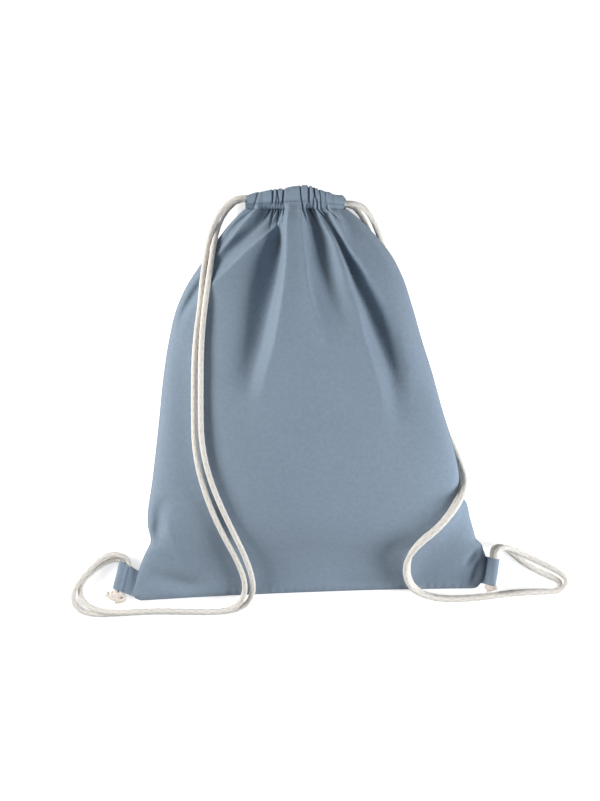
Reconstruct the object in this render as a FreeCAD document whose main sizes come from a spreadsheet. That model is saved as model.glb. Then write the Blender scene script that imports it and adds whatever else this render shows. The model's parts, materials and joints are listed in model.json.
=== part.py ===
import FreeCAD, Part
import Sketcher
import math
import os

# Drawstring backpack lying on its back: a flat cotton bag with a gathered mouth, two cord straps
# that run through the hem casings, and a folded tab at each bottom corner.
# Frame: origin on the floor under the middle of the bag, +X to the right, +Y to the mouth, +Z up.

Vector = FreeCAD.Vector
doc = FreeCAD.newDocument("drawstring_backpack")
sheet = doc.addObject("Spreadsheet::Sheet", "Dimensions")

# ---------------------------------------------------------------- driving dimensions (mm, degrees)
SIZES = [
    ("bag_width", 378, "bottom seam, corner to corner"),
    ("bag_length", 424, "bottom seam to the casing stitches"),
    ("cloth", 1.4, "wall that stands in for the woven cotton"),
    ("seam_gap", 0.4, "between the edges of the front and the back panel"),
    ("skim", 0.4, "depth trimmed off the back panel to leave its resting face flat"),
    ("cord_dia", 6, "drawstring cord"),
    ("casing_depth", 26.5, "casing stitches to the folded mouth edge"),
    ("casing_wall", 1.2, "cloth round a casing's cord tunnel"),
    ("tunnel_room", 1.2, "tunnel height beyond the cord"),
    ("casing_corner", 3.5, "rounding of the folded mouth edge"),
    ("mouth_width", 104, "gathered width of the mouth"),
    ("mouth_shift", -10, "middle of the mouth, measured from the middle of the bag"),
    ("mouth_gap", 9, "between the front and the back casing"),
    ("neck_flare", 5, "neck beyond each end of the casings"),
    ("neck_inset", 14, "resting face of the neck inside each end of it"),
    ("neck_fullness", 0.4, "power of the neck's crown"),
    ("cord_room", 2.3, "from a casing's wall at its stitches to the right drawstring"),
    ("cord_gap", 0.2, "between the drawstrings in a casing, and between the cord ends in a tab"),
    ("turn_room", 0.7, "from a casing's end to the outside of the cord's turn in it"),
    ("slot_room", 0.4, "opening in a casing's inner wall beyond the cord's turn through it"),
    ("split_lift", 225, "bottom seam to the crease where the front panel lifts"),
    ("split_gap", 0.3, "between the two halves of the front panel"),
    ("tab_length", 30, "tab along the side seam"),
    ("tab_root", 1.6, "half thickness of a tab in its seam"),
    ("tab_swell", 5, "from a tab's seam to its full thickness"),
    ("tab_wall", 1.2, "cloth round a tab's tunnel"),
    ("tab_room", 0.5, "tab tunnel round the cords"),
    ("tab_gap", 0.2, "between a tab's root and the thread of the side seam"),
    ("tab_drop", 0.5, "corner section to the upper end of a tab"),
    ("tab_lift", 4.9, "height of a tab's seam above the floor"),
    ("left_tilt", 0, "left tab above level"),
    ("right_tilt", 60, "right tab above level"),
    ("cord_place", 8.6, "a tab's seam to the first cord end in it"),
    ("cord_stub", 1, "cord end beyond the mouth of a tab"),
    ("knot_long", 12, "knot along its tab"),
    ("knot_wide", 19, "knot across the two cords"),
    ("knot_high", 9.4, "knot, thickness"),
    ("knot_round", 3.6, "rounding of the knot"),
    ("tail_dia", 5, "frayed cord tail"),
    ("tail_reach", 14, "frayed tail from the middle of the knot"),
    ("thread_dia", 0.8, "sewing thread"),
    ("stitch_inset", 1.2, "row of stitches from the edge that it holds"),
    ("stitch_lift", 0.1, "stitches above their cloth"),
    ("seam_thread_gap", 0.3, "side and bottom seam threads outside the edges that they join"),
    ("seam_thread_drop", 0.8, "side seam threads below the edges that they join"),
    ("exit_run", 10, "cord that leaves a casing straight"),
    ("entry_run", 5.2, "cord that enters a tab straight"),
    ("crease_run", 22, "left straps straight across the crease of the front panel, to each side"),
]

# Sections of the bag, from the bottom seam up. Plan places are shares of bag_width and bag_length;
# seam and top are heights in mm, the insets say how far the resting face stays inside each side,
# and fullness is the power of the crown (1 round, 0 square).
SECTION_KEYS = (
    "left", "right", "left_up", "right_up", "seam", "top", "left_inset", "right_inset", "fullness",
)
SECTIONS = [
    ("foot", (-0.500, 0.499, 0.000, 0.034, 3.0, 5.0, 12, 12, 0.35)),
    ("corner", (-0.477, 0.511, 0.081, 0.114, 6.5, 27, 25, 25, 0.80)),
    ("haunch", (-0.447, 0.478, 0.178, 0.189, 16, 52, 30, 36, 0.85)),
    ("belly", (-0.431, 0.435, 0.307, 0.307, 25, 70, 34, 46, 0.85)),
    ("waist", (-0.415, 0.397, 0.461, 0.461, 29, 76, 36, 54, 0.85)),
    ("chest", (-0.384, 0.331, 0.661, 0.661, 29, 72, 36, 54, 0.85)),
    ("shoulder", (-0.304, 0.262, 0.845, 0.845, 25, 54, 32, 46, 0.80)),
    ("collar", (-0.222, 0.175, 0.956, 0.956, 18, 37, 24, 28, 0.65)),
]


def fill_sheet():
    cells = list(SIZES)
    for name, values in SECTIONS:
        cells += [(f"{name}_{key}", value, f"{name} section") for key, value in zip(SECTION_KEYS, values)]
    for row, (name, value, meaning) in enumerate(cells, start=1):
        sheet.set(f"A{row}", str(value))
        sheet.set(f"B{row}", meaning)
        sheet.setAlias(f"A{row}", name)
    doc.recompute()


def size(name):
    return float(getattr(sheet, name))


def cell(name):
    return f"Dimensions.{name}"


fill_sheet()

# What follows from the driving dimensions, as expressions for the document and as numbers.
SEAM_PROUD = f"({cell('seam_thread_gap')} + {cell('thread_dia')})"
BASE = f"(({SEAM_PROUD} - {cell('bag_length')} - {cell('casing_depth')}) / 2)"
NECK = f"({BASE} + {cell('bag_length')})"
SPLIT = f"({BASE} + {cell('split_lift')})"
CASING_THICK = f"({cell('cord_dia')} + {cell('tunnel_room')} + 2 * {cell('casing_wall')})"
MOUTH_LEFT = f"({cell('mouth_shift')} - {cell('mouth_width')} / 2)"
MOUTH_RIGHT = f"({cell('mouth_shift')} + {cell('mouth_width')} / 2)"
FRONT_FLOOR = f"({CASING_THICK} + {cell('mouth_gap')})"
TURN_RADIUS = f"({FRONT_FLOOR} / 2)"
TURN_REACH = f"({TURN_RADIUS} + {cell('cord_dia')} / 2 + {cell('turn_room')})"
TAB_HALF = f"({cell('cord_dia')} / 2 + {cell('tab_room')} + {cell('tab_wall')})"
CORD_PITCH = f"({cell('cord_dia')} + {cell('cord_gap')})"
RIGHT_CORD_LIFT = f"({cell('casing_wall')} + {cell('cord_room')} + {cell('cord_dia')} / 2)"
LEFT_CORD_LIFT = f"({RIGHT_CORD_LIFT} + {CORD_PITCH})"

cord_radius = size("cord_dia") / 2
seam_proud = size("seam_thread_gap") + size("thread_dia")
base_y = (seam_proud - size("bag_length") - size("casing_depth")) / 2
neck_y = base_y + size("bag_length")
split_y = base_y + size("split_lift")
casing_thick = size("cord_dia") + size("tunnel_room") + 2 * size("casing_wall")
mouth_left = size("mouth_shift") - size("mouth_width") / 2
mouth_right = size("mouth_shift") + size("mouth_width") / 2
back_pass_height = casing_thick / 2
front_pass_height = casing_thick * 1.5 + size("mouth_gap")
cord_pitch = size("cord_dia") + size("cord_gap")
right_cord_lift = size("casing_wall") + size("cord_room") + cord_radius
left_cord_lift = right_cord_lift + cord_pitch

kept = []


def keep(made, label):
    """Mark a finished sub-part; its label names its file."""
    made.Label = label
    kept.append(made)
    return made


def bind(made, expressions):
    for name, expression in expressions.items():
        made.setExpression(name, expression)


def place(made, x="0", y="0", z="0"):
    bind(made, {"Placement.Base.x": x, "Placement.Base.y": y, "Placement.Base.z": z})


def block(name, length, width, height, x, y, z):
    box = doc.addObject("Part::Box", name)
    bind(box, {"Length": length, "Width": width, "Height": height})
    place(box, x, y, z)
    return box


def feature(name, shape):
    made = doc.addObject("Part::Feature", name)
    made.Shape = shape
    return made


# ---------------------------------------------------------------- the bag's sections
class Section:
    """One cut across the bag, on an upright plane through its left and right seam points."""

    def __init__(self, left, right, seam, top, left_inset, right_inset, fullness):
        self.left = left
        self.right = right
        self.seam = seam
        self.top = top
        self.left_inset = left_inset
        self.right_inset = right_inset
        self.fullness = fullness
        self.width = left.distanceToPoint(right)

    def at(self, reach, height):
        """The point that lies reach mm from the left seam, at this height."""
        point = self.left + (self.right - self.left) * (reach / self.width)
        point.z = height
        return point


def sheet_section(name):
    def plan(side):
        across = size("bag_width") * size(f"{name}_{side}")
        return Vector(across, base_y + size("bag_length") * size(f"{name}_{side}_up"), 0)

    heights = [size(f"{name}_{key}") for key in SECTION_KEYS[4:]]
    return Section(plan("left"), plan("right"), *heights)


def neck_section():
    """The bag's open end, which meets both casings."""
    flare = size("neck_flare")
    left = Vector(mouth_left - flare, neck_y, 0)
    right = Vector(mouth_right + flare, neck_y, 0)
    middle = casing_thick + size("mouth_gap") / 2
    inset = size("neck_inset")
    return Section(left, right, middle, 2 * middle, inset, inset, size("neck_fullness"))


sections = [sheet_section(name) for name, values in SECTIONS] + [neck_section()]


def curve(points, start=None, end=None):
    """A smooth line through the points, leaving and arriving in the given directions."""
    spline = Part.BSplineCurve()
    if start:
        spline.interpolate(Points=points, InitialTangent=start, FinalTangent=end)
    else:
        spline.interpolate(Points=points)
    return spline.toShape()


def front_wire(section):
    """A thin arch from seam to seam."""
    cloth = size("cloth")
    floor = section.seam + size("seam_gap") / 2

    def arch(inset):
        half = section.width / 2 - inset
        rise = section.top - inset - floor
        points = []
        for degrees in (0, 12, 30, 60, 90, 120, 150, 168, 180):
            angle = math.radians(degrees)
            crown = math.sin(angle) ** section.fullness if 0 < degrees < 180 else 0.0
            points.append(section.at(section.width / 2 - half * math.cos(angle), floor + rise * crown))
        return points

    outside = arch(0)
    inside = arch(cloth)
    return Part.Wire([
        curve(inside),
        Part.makeLine(inside[-1], outside[-1]),
        curve(outside[::-1]),
        Part.makeLine(outside[0], inside[0]),
    ])


def back_wire(section):
    """A thin tray: it rises from its flat floor to the seam on each side."""
    cloth = size("cloth")
    rim = section.seam - size("seam_gap") / 2
    along = (section.right - section.left).normalize()
    up = Vector(0, 0, 1)

    def sides(inset, floor):
        left = []
        right = []
        for degrees in (0, 30, 60, 90):
            angle = math.radians(degrees)
            height = floor + (rim - floor) * (1 - math.sin(angle))
            bow = 1 - math.cos(angle)
            left.append(section.at(inset + (section.left_inset - inset) * bow, height))
            right.append(section.at(section.width - inset - (section.right_inset - inset) * bow, height))
        return left, right[::-1]

    left, right = sides(0, -size("skim"))
    inner_left, inner_right = sides(cloth, cloth)
    return Part.Wire([
        curve(left, -up, along),
        Part.makeLine(left[-1], right[0]),
        curve(right, along, up),
        Part.makeLine(right[-1], inner_right[-1]),
        curve(inner_right[::-1], -up, -along),
        Part.makeLine(inner_right[0], inner_left[-1]),
        curve(inner_left[::-1], -along, up),
        Part.makeLine(inner_left[0], left[0]),
    ])


def seam_bulge(side, corner, out, down, reach):
    """How far the side seam bows out beyond its corner over the stretch that a tab covers."""
    ends = [Vector(*getattr(section, side)) for section in (sections[0], sections[-1])]
    shell = doc.getObject("front_shell").Shape
    bulge = 0.0
    for edge in shell.Edges:
        flat_ends = [Vector(vertex.X, vertex.Y, 0) for vertex in (edge.Vertexes[0], edge.Vertexes[-1])]
        if all(any(end.distanceToPoint(found) < 0.01 for found in flat_ends) for end in ends):
            for point in edge.discretize(Distance=1.0):
                away = Vector(point.x, point.y, 0) - corner
                if 0 <= away.dot(down) <= reach:
                    bulge = max(bulge, away.dot(out))
    return bulge


def room(name, low_y, high_y, low_z, height):
    """A block wider than the bag, used to trim the panels."""
    width = cell("bag_width")
    return block(name, f"2 * {width}", f"{high_y} - {low_y}", height, f"-{width}", low_y, low_z)


def make_panels():
    beyond = cell("casing_depth")
    gap = f"{cell('split_gap')} / 2"
    front = feature("front_shell", Part.makeLoft([front_wire(s) for s in sections], True))
    lower = room("lower_room", f"({BASE} - {beyond})", f"({SPLIT} - {gap})", "0", cell("bag_width"))
    upper = room("upper_room", f"({SPLIT} + {gap})", f"({NECK} + {beyond})", "0", cell("bag_width"))
    for name, half_room in (("front_panel_lower", lower), ("front_panel_upper", upper)):
        half = doc.addObject("Part::Common", f"{name}_shape")
        half.Base = front
        half.Tool = half_room
        keep(half, name)

    tray = feature("back_shell", Part.makeLoft([back_wire(s) for s in sections], True))
    skim_depth = f"2 * {cell('skim')}"
    under = room("floor_room", f"({BASE} - {beyond})", f"({NECK} + {beyond})", f"-{skim_depth}", skim_depth)
    back = doc.addObject("Part::Cut", "back_panel_shape")
    back.Base = tray
    back.Tool = under
    keep(back, "back_panel")


# ---------------------------------------------------------------- casings
def make_casing(name, floor, inner_wall_floor):
    """A flat cord tunnel along the mouth; its inner wall is open at both ends, where cords turn."""
    wall = cell("casing_wall")
    depth = cell("casing_depth")
    band = block(f"{name}_band", cell("mouth_width"), depth, CASING_THICK, MOUTH_LEFT, NECK, floor)
    doc.recompute()
    folded = doc.addObject("Part::Fillet", f"{name}_folded")
    folded.Base = band
    far = band.Shape.BoundBox.YMax
    corner = size("casing_corner")
    folded.Edges = [
        (number, corner, corner)
        for number, edge in enumerate(band.Shape.Edges, start=1)
        if edge.BoundBox.YMin > far - 0.01 and edge.BoundBox.XLength > corner
    ]
    tunnel_depth = f"{depth} - 2 * {wall}"
    tunnel_y = f"{NECK} + {wall}"
    tunnel = block(f"{name}_tunnel", f"{cell('mouth_width')} + 2", tunnel_depth,
                   f"{CASING_THICK} - 2 * {wall}", f"{MOUTH_LEFT} - 1", tunnel_y, f"{floor} + {wall}")
    cuts = [tunnel]
    slot_reach = f"({TURN_REACH} + {cell('slot_room')})"
    for side, start in (("left", f"{MOUTH_LEFT} - 1"), ("right", f"{MOUTH_RIGHT} - {slot_reach}")):
        slot = block(f"{name}_{side}_slot", f"{slot_reach} + 1", tunnel_depth, f"{wall} * 2",
                     start, tunnel_y, f"{inner_wall_floor} - {wall} / 2")
        cuts.append(slot)
    openings = doc.addObject("Part::MultiFuse", f"{name}_openings")
    openings.Shapes = cuts
    casing = doc.addObject("Part::Cut", f"{name}_shape")
    casing.Base = folded
    casing.Tool = openings
    keep(casing, name)


# ---------------------------------------------------------------- tabs
class TabPlace:
    """Where a tab's seam lies: its lower or upper end, and the directions along it and out of it."""

    def __init__(self, side):
        foot = getattr(sections[0], side)
        corner = getattr(sections[1], side)
        self.side = side
        self.down = (foot - corner).normalize()
        turn = -1 if side == "left" else 1
        self.out = Vector(-self.down.y, self.down.x, 0) * turn
        stretch = size("tab_drop") + size("tab_length")
        start = seam_bulge(side, corner, self.out, self.down, stretch)
        start += seam_proud + size("tab_gap") + size("tab_root")
        top = corner + self.out * start + self.down * size("tab_drop")
        self.top = Vector(top.x, top.y, size("tab_lift"))
        # The tab's own +Y runs down the left seam and up the right one, so that its +Z is upward.
        self.root = self.top if side == "left" else self.top + self.down * size("tab_length")
        self.along = self.down if side == "left" else -self.down
        heading = math.degrees(math.atan2(self.out.y, self.out.x))
        level = FreeCAD.Rotation(Vector(0, 0, 1), heading)
        lifted = FreeCAD.Rotation(Vector(0, 1, 0), -size(f"{side}_tilt"))
        self.placement = FreeCAD.Placement(self.root, level.multiply(lifted))
        # The cords enter at the upper end; the knot holds them at the lower one.
        self.entry_end = 0 if side == "left" else size("tab_length")
        self.knot_end = size("tab_length") - self.entry_end
        self.knot_way = 1 if side == "left" else -1

    def world(self, x, y, z=0):
        return self.placement.multVec(Vector(x, y, z))

    def entry(self, cord_number):
        """Where a strap's cord meets the tab: just outside its upper end."""
        reach = size("cord_place") + cord_number * cord_pitch
        return self.world(reach, self.entry_end - self.knot_way * size("cord_stub"))


def tab_sketch(body, name, geometry, joined):
    """A closed outline across a tab, whose neighbouring pieces are joined by this constraint."""
    drawn = body.newObject("Sketcher::SketchObject", name)
    plane = next(item for item in body.Origin.OriginFeatures if item.Role == "XZ_Plane")
    drawn.AttachmentSupport = (plane, [""])
    drawn.MapMode = "FlatFace"
    drawn.addGeometry(geometry, False)
    for number in range(len(geometry)):
        following = (number + 1) % len(geometry)
        drawn.addConstraint(Sketcher.Constraint(joined, number, 2, following, 1))
    return drawn


def measure(drawn, alias_value_list):
    """Add each dimension and bind it to its expression."""
    for arguments, expression in alias_value_list:
        index = drawn.addConstraint(Sketcher.Constraint(*arguments))
        drawn.setExpression(f"Constraints[{index}]", expression)


def half_turn(centre_x, radius, first_degrees):
    circle = Part.Circle(Vector(centre_x, 0, 0), Vector(0, 0, 1), radius)
    return Part.ArcOfCircle(circle, math.radians(first_degrees), math.radians(first_degrees + 180))


def line(x1, y1, x2, y2):
    return Part.LineSegment(Vector(x1, y1, 0), Vector(x2, y2, 0))


def make_tab(name, tab):
    """A folded strip: a rounded root in the seam, swelling to a loop round both cord ends."""
    body = doc.addObject("PartDesign::Body", f"{name}_body")
    root = size("tab_root")
    swell = size("tab_swell")
    half = cord_radius + size("tab_room") + size("tab_wall")
    fold = size("cord_place") + cord_pitch
    outline = tab_sketch(body, f"{name}_outline", [
        half_turn(0, root, 90),
        line(0, -root, swell, -half),
        line(swell, -half, fold, -half),
        half_turn(fold, half, -90),
        line(fold, half, swell, half),
        line(swell, half, 0, root),
    ], "Coincident")
    for constraint in (
        ("Coincident", 0, 3, -1, 1),
        ("PointOnObject", 0, 1, -2),
        ("PointOnObject", 0, 2, -2),
        ("PointOnObject", 3, 3, -1),
        ("Horizontal", 2),
        ("Horizontal", 4),
        ("Vertical", 3, 1, 3, 3),
        ("Vertical", 3, 3, 3, 2),
        ("Vertical", 1, 2, 4, 2),
    ):
        outline.addConstraint(Sketcher.Constraint(*constraint))
    measure(outline, [
        (("Radius", 0, root), cell("tab_root")),
        (("Radius", 3, half), TAB_HALF),
        (("DistanceX", -1, 1, 3, 3, fold), f"{cell('cord_place')} + {CORD_PITCH}"),
        (("DistanceX", -1, 1, 1, 2, swell), cell("tab_swell")),
    ])
    loop = body.newObject("PartDesign::Pad", f"{name}_loop")
    loop.Profile = outline
    loop.Reversed = True
    loop.setExpression("Length", cell("tab_length"))

    bore = cord_radius + size("tab_room")
    first = size("cord_place")
    tunnel = tab_sketch(body, f"{name}_tunnel", [
        half_turn(first, bore, 90),
        line(first, -bore, fold, -bore),
        half_turn(fold, bore, -90),
        line(fold, bore, first, bore),
    ], "Tangent")
    for constraint in (
        ("PointOnObject", 0, 3, -1),
        ("PointOnObject", 2, 3, -1),
        ("Equal", 0, 2),
    ):
        tunnel.addConstraint(Sketcher.Constraint(*constraint))
    measure(tunnel, [
        (("Radius", 0, bore), f"{cell('cord_dia')} / 2 + {cell('tab_room')}"),
        (("DistanceX", -1, 1, 0, 3, first), cell("cord_place")),
        (("DistanceX", 0, 3, 2, 3, fold - first), CORD_PITCH),
    ])
    doc.recompute()
    hole = body.newObject("PartDesign::Pocket", f"{name}_hole")
    hole.Profile = tunnel
    hole.Type = "ThroughAll"
    hole.Midplane = True
    body.Placement = tab.placement
    keep(body, name)


# ---------------------------------------------------------------- cords
def rounded_route(points):
    """Straight runs joined by arcs as large as their two runs allow; gives the wire and the radii."""
    edges = []
    radii = []
    start = points[0]
    for before, corner, after in zip(points, points[1:], points[2:]):
        arriving = (corner - before).normalize()
        leaving = (after - corner).normalize()
        half_angle = arriving.getAngle(leaving) / 2
        shorter = min(before.distanceToPoint(corner), corner.distanceToPoint(after))
        setback = 0.45 * shorter
        radius = setback / math.tan(half_angle)
        radii.append(radius)
        first = corner - arriving * setback
        last = corner + leaving * setback
        middle_way = (leaving - arriving).normalize()
        middle = corner + middle_way * (radius / math.cos(half_angle) - radius)
        edges.append(Part.LineSegment(start, first).toShape())
        edges.append(Part.Arc(first, middle, last).toShape())
        start = last
    edges.append(Part.LineSegment(start, points[-1]).toShape())
    return Part.Wire(edges), radii


def cord_shape(wire):
    """The round cord along a wire."""
    first = wire.OrderedEdges[0]
    way = first.tangentAt(first.FirstParameter)
    profile = Part.Wire([Part.Circle(first.valueAt(first.FirstParameter), way, cord_radius).toShape()])
    return wire.makePipeShell([profile], True, False)


def make_cord(name, points):
    """A free stretch of cord; prints its length, its tightest radius and its volume's fault."""
    wire, radii = rounded_route(points)
    shape = cord_shape(wire)
    ideal = math.pi * cord_radius**2 * wire.Length
    print(f"{name}: {wire.Length:.0f} mm long, tightest radius {min(radii):.1f} mm, "
          f"volume off by {abs(shape.Volume / ideal - 1) * 100:.3f} %")
    keep(feature(f"{name}_shape", shape), name)


def make_pass(name, lift, height, left, right):
    """The straight cord inside a casing, from x = left to x = right."""
    rod = doc.addObject("Part::Cylinder", f"{name}_shape")
    bind(rod, {"Radius": f"{cell('cord_dia')} / 2", "Height": f"{right} - {left}"})
    rod.Placement.Rotation = FreeCAD.Rotation(Vector(0, 1, 0), 90)
    place(rod, left, f"{NECK} + {lift}", height)
    keep(rod, name)


def make_turn(name, lift, x, toward):
    """The half turn that takes a drawstring from the front casing to the back one."""
    ring = doc.addObject("Part::Torus", f"{name}_shape")
    bind(ring, {"Radius1": TURN_RADIUS, "Radius2": f"{cell('cord_dia')} / 2"})
    ring.Angle3 = 180
    upright = FreeCAD.Rotation(Vector(1, 0, 0), 90)
    around = FreeCAD.Rotation(Vector(0, 1, 0), 90 if toward == "right" else -90)
    ring.Placement.Rotation = around.multiply(upright)
    place(ring, x, f"{NECK} + {lift}", f"{CASING_THICK} + {cell('mouth_gap')} / 2")
    keep(ring, name)


def make_tab_ends(name, tab):
    """The two cord ends that lie side by side in a tab."""
    ends = []
    for number in (0, 1):
        rod = doc.addObject("Part::Cylinder", f"{name}_{number}")
        reach = f"{cell('tab_length')} + 2 * {cell('cord_stub')}"
        bind(rod, {"Radius": f"{cell('cord_dia')} / 2", "Height": reach})
        across = size("cord_place") + number * cord_pitch
        start = Vector(across, -size("cord_stub"), 0)
        lying = FreeCAD.Placement(start, FreeCAD.Rotation(Vector(1, 0, 0), -90))
        rod.Placement = tab.placement.multiply(lying)
        ends.append(rod)
    pair = doc.addObject("Part::Compound", f"{name}_shape")
    pair.Links = ends
    keep(pair, name)


def make_knot(name, tab):
    """An overhand knot in both cord ends, pulled up against the tab's mouth, with two frayed tails."""
    across = size("cord_place") + cord_pitch / 2
    face = tab.knot_end + tab.knot_way * size("cord_stub")
    middle = face + tab.knot_way * size("knot_long") / 2
    lump = doc.addObject("Part::Box", f"{name}_lump")
    bind(lump, {"Length": cell("knot_wide"), "Width": cell("knot_long"), "Height": cell("knot_high")})
    corner = Vector(across - size("knot_wide") / 2, middle - size("knot_long") / 2, -size("knot_high") / 2)
    lump.Placement = tab.placement.multiply(FreeCAD.Placement(corner, FreeCAD.Rotation()))
    doc.recompute()
    rounded = doc.addObject("Part::Fillet", f"{name}_rounded")
    rounded.Base = lump
    rounding = size("knot_round")
    rounded.Edges = [(number, rounding, rounding) for number in range(1, len(lump.Shape.Edges) + 1)]
    parts = [rounded]
    for number, degrees in enumerate((5, 30)):
        tail = doc.addObject("Part::Cylinder", f"{name}_tail_{number}")
        bind(tail, {"Radius": f"{cell('tail_dia')} / 2", "Height": cell("tail_reach")})
        lying = FreeCAD.Rotation(Vector(0, 0, 1), tab.knot_way * degrees)
        lying = lying.multiply(FreeCAD.Rotation(Vector(0, 1, 0), 90))
        tail.Placement = tab.placement.multiply(FreeCAD.Placement(Vector(across, middle, 0), lying))
        parts.append(tail)
    knot = doc.addObject("Part::MultiFuse", f"{name}_shape")
    knot.Shapes = parts
    keep(knot, name)


# Routes of the free cords, point by point. Their straight ends, in a casing's mouth, at a tab and
# where the left straps cross the crease of the front panel, are added by make_straps.
LEFT_OUTER_UPPER = [
    (-84, 206.2, 23.6), (-95.1, 192, 24.5), (-103.5, 173, 27.5), (-109, 149, 35.5), (-112.8, 122, 47.5),
    (-115, 95, 55), (-118.5, 70, 60.2), (-120.8, 45, 64),
]
LEFT_INNER_UPPER = [
    (-80.5, 202.8, 6.5), (-89.8, 187.6, 14), (-96.8, 168, 29.5), (-102, 145, 42.5), (-106.5, 119, 53),
    (-110.5, 92, 59.5), (-113, 68, 63.5), (-114.1, 45, 66.6),
]
LEFT_OUTER_SPLIT = (-121.7, 66.3)
LEFT_INNER_SPLIT = (-114.3, 69)
LEFT_OUTER_LOWER = [
    (-121.5, -48, 66.2), (-118.5, -75, 65.4), (-111, -104, 63.5), (-101, -131, 57.8),
    (-88, -158, 47.5), (-73, -184, 33.7), (-64.5, -205, 20.7), (-66.5, -222, 12.5), (-77, -234, 9.5),
    (-97, -238, 9.4), (-130, -237, 9.4), (-166, -236.5, 9.4), (-200, -238.5, 9.4), (-224, -237.5, 8.5),
    (-239, -231, 4.5), (-246, -219, 3.1), (-244, -206, 3.1), (-234, -195.5, 3.1), (-223, -185.5, 3.1),
    (-212.5, -177, 3.2), (-205, -173.3, 3.7), (-201.1, -173.9, 4.2), (-198.2, -176.5, 4.7),
]
LEFT_INNER_LOWER = [
    (-113.7, -48, 68.9), (-109.5, -75, 68), (-101.5, -101, 65.9), (-91, -126, 61),
    (-78.5, -152, 51.9), (-66, -177, 39.2), (-57.5, -198, 24.7), (-56, -215, 13), (-62.5, -229, 5),
    (-76, -236.5, 3.1), (-98, -239, 3.1), (-131, -238.5, 3.1), (-166, -238, 3.1), (-199, -240, 3.1),
    (-226, -241.5, 3.1), (-244, -238.5, 3.1), (-253.5, -228, 3.6), (-252, -214, 6.5), (-244.5, -202, 9.6),
    (-234, -190.5, 9.6), (-223, -181, 9.7), (-212.5, -173.5, 10.3), (-203.5, -170.5, 10.4),
    (-196.5, -169.8, 10.4), (-192.2, -172.2, 8.6), (-190.2, -176.6, 5.8),
]
RIGHT_OUTER = [
    (61, 203, 22.5), (70, 193, 19), (76.5, 179.5, 14), (83, 163, 8), (91, 141, 3.6),
    (102.5, 112, 3.1), (112.5, 82, 3.1), (121, 50, 3.1), (130, 18, 3.1),
    (139.8, -11, 3.8), (149.3, -32, 6.2), (157.3, -48, 9.4), (164.5, -62, 10.8), (171, -77, 13),
    (176, -92, 22), (177, -106.5, 36), (171, -120.5, 50), (159, -136, 53.5), (144, -151, 53),
    (126.5, -164, 50), (112, -179, 42.5), (106.5, -196, 31), (110.5, -211, 20.5), (121, -221, 13),
    (137, -227.5, 10), (157, -229, 9.6), (181, -227, 9.6), (203, -223.5, 9.6), (222, -219.5, 9.6),
    (240, -217, 9.6), (257, -216, 9.6), (273, -215.5, 9.6), (282.5, -211.5, 9.3), (285.5, -203.5, 8),
    (280, -196.5, 6), (267, -189, 4), (252, -182, 3.1), (240, -176.5, 4), (230.5, -171.5, 7.5),
    (221, -168, 12), (214.3, -167, 15.8), (209.9, -169, 17.4),
]
RIGHT_INNER = [
    (59, 202, 4.6), (67, 190.5, 4.2), (72.5, 176, 3.6), (78, 158.5, 3.1),
    (85.5, 136.5, 3.1), (96, 107, 3.1), (106, 77, 3.1), (114.5, 47, 3.1), (123.5, 16, 3.1),
    (132.5, -12.5, 3.1), (142.8, -34, 3.1), (153.5, -51, 3.1), (162, -65, 3.4), (168.5, -78, 6),
    (171.6, -92, 13.5), (172, -105, 26.3), (167.3, -119, 43), (157, -133.5, 45.8), (143, -148.5, 45.3),
    (126, -161.5, 42.6), (113, -177, 35), (109, -194, 23.5), (112.5, -208, 13.5), (121.5, -218.5, 6),
    (136.5, -225.5, 3.2), (156, -227.5, 3.1), (180, -226, 3.1), (202, -223, 3.1), (221, -218.5, 3.1),
    (238, -216.2, 3.1), (254, -215.3, 3.1), (265, -215.8, 3.1), (272, -215.7, 3.1), (275.5, -213.6, 3.1),
    (277.3, -210, 3.1), (276.9, -206, 3.1), (274.2, -202.9, 3.1), (264, -198.7, 3.1),
    (248, -190.5, 3.1), (235, -182, 3.1), (226, -174.5, 3.4), (217.5, -168, 6.5), (211.5, -167, 10),
    (207, -168.6, 11.9),
]


def make_straps(left_tab, right_tab):
    left_y = neck_y + left_cord_lift
    right_y = neck_y + right_cord_lift
    leftward = Vector(-1, 0, 0)
    rightward = Vector(1, 0, 0)
    up_the_bag = Vector(0, 1, 0)

    def route(start, start_way, start_run, chosen, end, end_way, end_run):
        """The chosen points between two straight ends; end_way points back along the cord."""
        middle = [Vector(*point) for point in chosen]
        return [start, start + start_way * start_run] + middle + [end + end_way * end_run, end]

    out = size("exit_run")
    into = size("entry_run")
    crease = size("crease_run")
    left_outer = Vector(LEFT_OUTER_SPLIT[0], split_y, LEFT_OUTER_SPLIT[1])
    left_inner = Vector(LEFT_INNER_SPLIT[0], split_y, LEFT_INNER_SPLIT[1])
    for name, height, chosen, split in (
        ("left_strap_outer_upper", front_pass_height, LEFT_OUTER_UPPER, left_outer),
        ("left_strap_inner_upper", back_pass_height, LEFT_INNER_UPPER, left_inner),
    ):
        start = Vector(mouth_left, left_y, height)
        make_cord(name, route(start, leftward, out, chosen, split, up_the_bag, crease))
    for name, split, chosen, number in (
        ("left_strap_outer_lower", left_outer, LEFT_OUTER_LOWER, 1),
        ("left_strap_inner_lower", left_inner, LEFT_INNER_LOWER, 0),
    ):
        end = left_tab.entry(number)
        make_cord(name, route(split, -up_the_bag, crease, chosen, end, -left_tab.down, into))
    for name, height, chosen, number in (
        ("right_strap_outer", front_pass_height, RIGHT_OUTER, 1),
        ("right_strap_inner", back_pass_height, RIGHT_INNER, 0),
    ):
        start = Vector(mouth_right, right_y, height)
        end = right_tab.entry(number)
        make_cord(name, route(start, rightward, out, chosen, end, -right_tab.down, into))


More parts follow.
